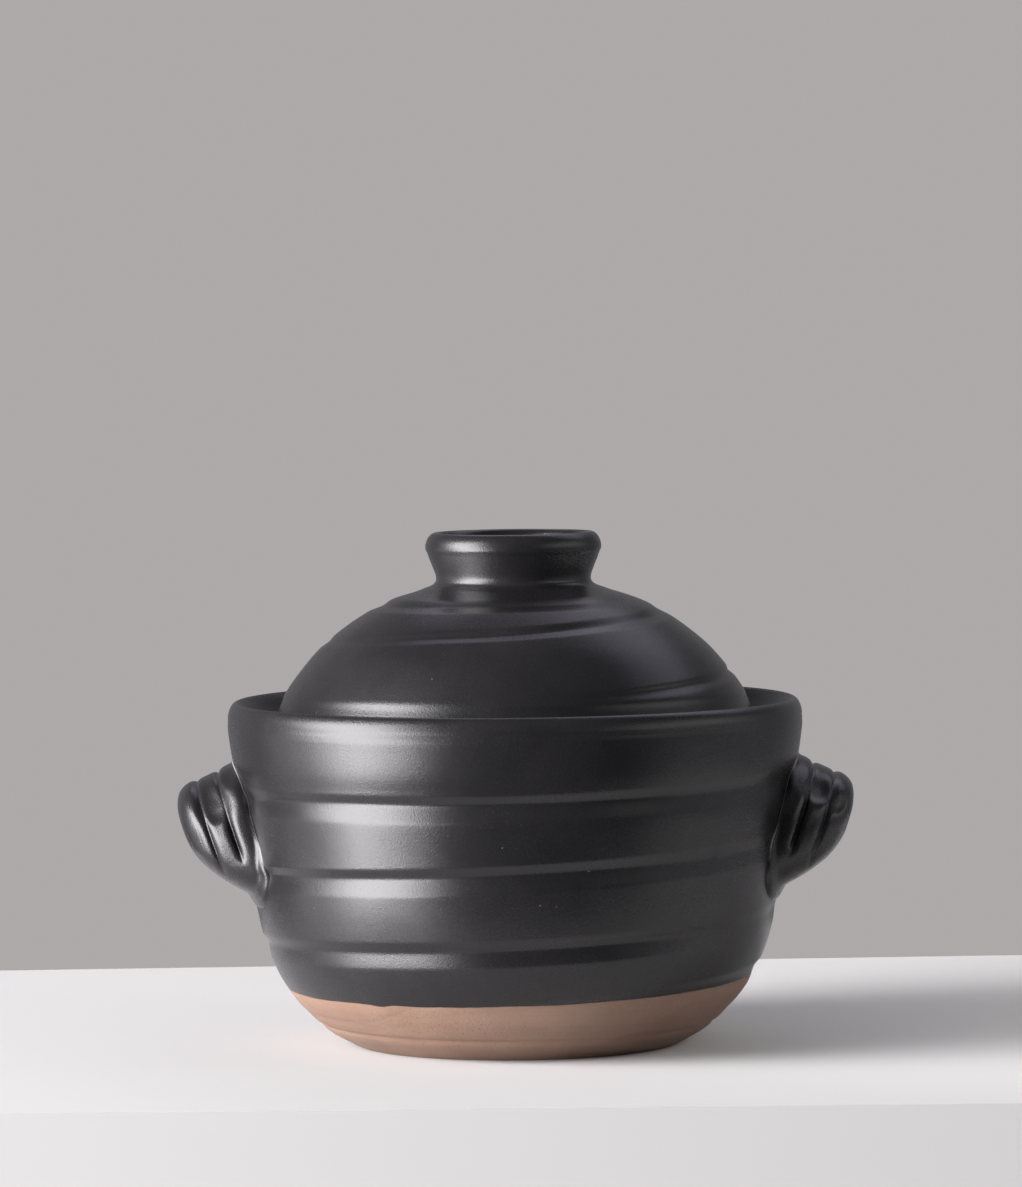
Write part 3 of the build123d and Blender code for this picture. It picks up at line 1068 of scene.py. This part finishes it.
# The camera, found from the ellipses and edges in the photograph
photo_focal_pixels = 6000.0
photo_long_side_pixels = 1187.0
camera_distance = 2.396
camera_height = 0.295
camera_side = -0.00104
camera_pitch = radians(2.762)
camera_roll = radians(-0.6)

# The table: its edges in the photograph, and the left end just outside it
floor_front, floor_back, floor_right = -0.205, 0.283, 0.4
floor_front_left, floor_back_left = -0.21, -0.26
floor_back_slant = 0.043
floor_drop = 0.3
floor_roughness = 0.9
floor_colour = (0.466, 0.46, 0.457, 1)
# Painted shade: the table's upright sides are coloured darker than its top, and the side facing the key
# darkest, so they look shaded though the key lights them
floor_side_shade_colour = (0.294, 0.29, 0.288, 1)
floor_key_side_shade_colour = (0.14, 0.138, 0.137, 1)

# The surround: what the camera sees behind the pot, and what the glaze mirrors round it
backdrop_colour = (0.42, 0.397, 0.4, 1)
surround_strength = 1.2
# Low down, from the dark room in front to the pale wall at the back
low_colours = (
    (0.0, (0.05, 0.05, 0.055)), (0.4, (0.1, 0.1, 0.107)), (0.7, (0.12, 0.118, 0.128)),
    (0.97, (0.2, 0.195, 0.205)),
)
right_wall_colour = (0.35, 0.342, 0.366, 1)
ceiling_colour = (0.14, 0.136, 0.143, 1)
right_strip_colour = (1.2, 1.17, 1.15, 1)
table_colour = (0.92, 0.9, 0.91, 1)

# The key softbox is brightest in its middle: width and brightness of each panel, widest last
key_place = (-2.482, -1.089, 0.46)
key_aim = (0.0, 0.0, 0.1)
key_roll = radians(20)
key_panels = ((0.9, 11.9), (1.4, 13.3), (2.0, 7.7), (2.7, 3.4))
key_height = 2.95
key_height_share = 0.12
key_colour = (1.0, 0.98, 0.995)


def make_camera():
    data = bpy.data.cameras.new("camera")
    data.sensor_width = 36.0
    data.lens = photo_focal_pixels * data.sensor_width / photo_long_side_pixels
    data.clip_end = 50.0
    camera = bpy.data.objects.new("camera", data)
    bpy.context.scene.collection.objects.link(camera)
    camera.location = (camera_side, -camera_distance, camera_height)
    look = Vector((0.0, cos(camera_pitch), -sin(camera_pitch)))
    turn = look.to_track_quat("-Z", "Y").to_matrix().to_4x4()
    camera.rotation_euler = (turn @ Matrix.Rotation(camera_roll, 4, "Z")).to_euler()
    bpy.context.scene.camera = camera


def softbox(name, place, aim, size, brightness, colour, roll=0.0, spread=180.0, mirrored=True):
    """A lit panel that faces a point, turned about the line to it."""
    width, height = size
    data = bpy.data.lights.new(name, "AREA")
    data.shape = "RECTANGLE"
    data.size = width
    data.size_y = height
    data.energy = 4 * brightness * width * height
    data.color = colour
    data.spread = radians(spread)
    lamp = bpy.data.objects.new(name, data)
    bpy.context.scene.collection.objects.link(lamp)
    lamp.location = place
    lamp.visible_glossy = mirrored
    facing = (Vector(aim) - Vector(place)).to_track_quat("-Z", "Y").to_matrix().to_4x4()
    lamp.rotation_euler = (facing @ Matrix.Rotation(roll, 4, "Z")).to_euler()


def plain_material(name, colour, roughness):
    material, graph = new_material(name)
    shader = graph.node(
        "ShaderNodeBsdfPrincipled", {}, {"Base Color": colour, "Roughness": roughness})
    graph.node("ShaderNodeOutputMaterial", {}, {"Surface": shader})
    return material


def make_floor():
    """A plain pale table top with upright sides, which carry painted shade."""
    top = [
        (floor_front_left, floor_front), (floor_right, floor_front),
        (floor_right, floor_back + floor_back_slant * floor_right),
        (floor_back_left, floor_back + floor_back_slant * floor_back_left)]
    sides = [(4 + k, 4 + (k + 1) % 4, (k + 1) % 4, k) for k in range(4)]
    mesh = bpy.data.meshes.new("floor")
    mesh.from_pydata(
        [(x, y, z) for z in (0.0, -floor_drop) for x, y in top], [],
        [(0, 1, 2, 3), *sides, (7, 6, 5, 4)])
    floor_piece = new_piece("floor", mesh)
    for name, colour in (
            ("pale floor", floor_colour), ("floor sides, painted shade", floor_side_shade_colour),
            ("floor side by the key, painted shade", floor_key_side_shade_colour)):
        mesh.materials.append(plain_material(name, colour, floor_roughness))
    # Painted shade: the side that faces the key takes the darkest colour, the other sides a darker one
    # than the top
    for face in mesh.polygons[1:]:
        face.material_index = 2 if face.normal.x < -0.5 else 1


def make_surround():
    """A plain grey backdrop, and the soft room that the glaze mirrors."""
    world = bpy.data.worlds.new("surround")
    bpy.context.scene.world = world
    world.use_nodes = True
    world.node_tree.nodes.clear()
    graph = Graph(world.node_tree)
    seen = graph.node("ShaderNodeLightPath")
    x, y, z = graph.split(graph.node("ShaderNodeTexCoord", {}, {}, out=0))
    surround = graph.node("ShaderNodeValToRGB", {"stops": low_colours}, {0: (y + 1.0) * 0.5})
    right_wall = (x - 0.07 * y).ease(0.7, 1.0)
    surround = graph.mix(right_wall, surround, right_wall_colour)
    surround = graph.mix(z.ease(0.3, 0.75), surround, ceiling_colour)
    right_strip = (z - 0.35).bell(0.2) * (0.95 * x - 0.3 * y).ease(0.7, 0.95)
    surround = graph.mix(right_strip, surround, right_strip_colour)
    table_left = (-x).ease(0.55, 0.92) * (-z).ease(0.0, 0.12) * (1.0 - y.ease(0.2, 0.6))
    surround = graph.mix(table_left, surround, table_colour)
    backdrop = graph.node("ShaderNodeBackground", {}, {"Color": backdrop_colour, "Strength": 1.0})
    light = graph.node(
        "ShaderNodeBackground", {}, {"Color": surround, "Strength": surround_strength})
    both = graph.node("ShaderNodeMixShader", {}, {0: seen, 1: light, 2: backdrop})
    graph.node("ShaderNodeOutputWorld", {}, {"Surface": both})


def make_lamps():
    """The key from the left, a weak fill from above, and one that only lifts the floor's shadow."""
    for number, (width, brightness) in enumerate(key_panels):
        size = (width, key_height + key_height_share * width)
        softbox(f"key_{number}", key_place, key_aim, size, brightness, key_colour, roll=key_roll)
    softbox(
        "fill", place=(0.54, 1.02, 1.55), aim=(0.0, 0.0, 0.16), size=(2.4, 0.9), brightness=0.72,
        colour=(0.85, 0.82, 1.0))
    softbox(
        "floor fill", place=(1.05, -0.2, 0.55), aim=(0.39, 0.02, 0.0), size=(0.4, 0.4),
        brightness=0.7, colour=(1.0, 0.98, 0.96), spread=24.0, mirrored=False)


make_camera()
make_floor()
make_surround()
make_lamps()
pot = make_pot("pot")
# The handles' glaze carries a painted highlight along their joints
handle_glaze = ceramic("glazed handles", glazed_all_over, rough=handle_roughness, with_glint_line=True)
make_handle("pot", "handle_right", "right_lug", 1, 0.0, right_dents, handle_glaze, pot)
make_handle("pot", "handle_left", "left_lug", -1, left_handle_drop, left_dents, handle_glaze, pot)
make_outer_lid("outer_lid_body")
make_ring_knob("outer_lid_body")
make_inner_lid("inner_lid_body")
make_button("inner_lid_body")

bpy.context.scene.view_settings.view_transform = "Standard"
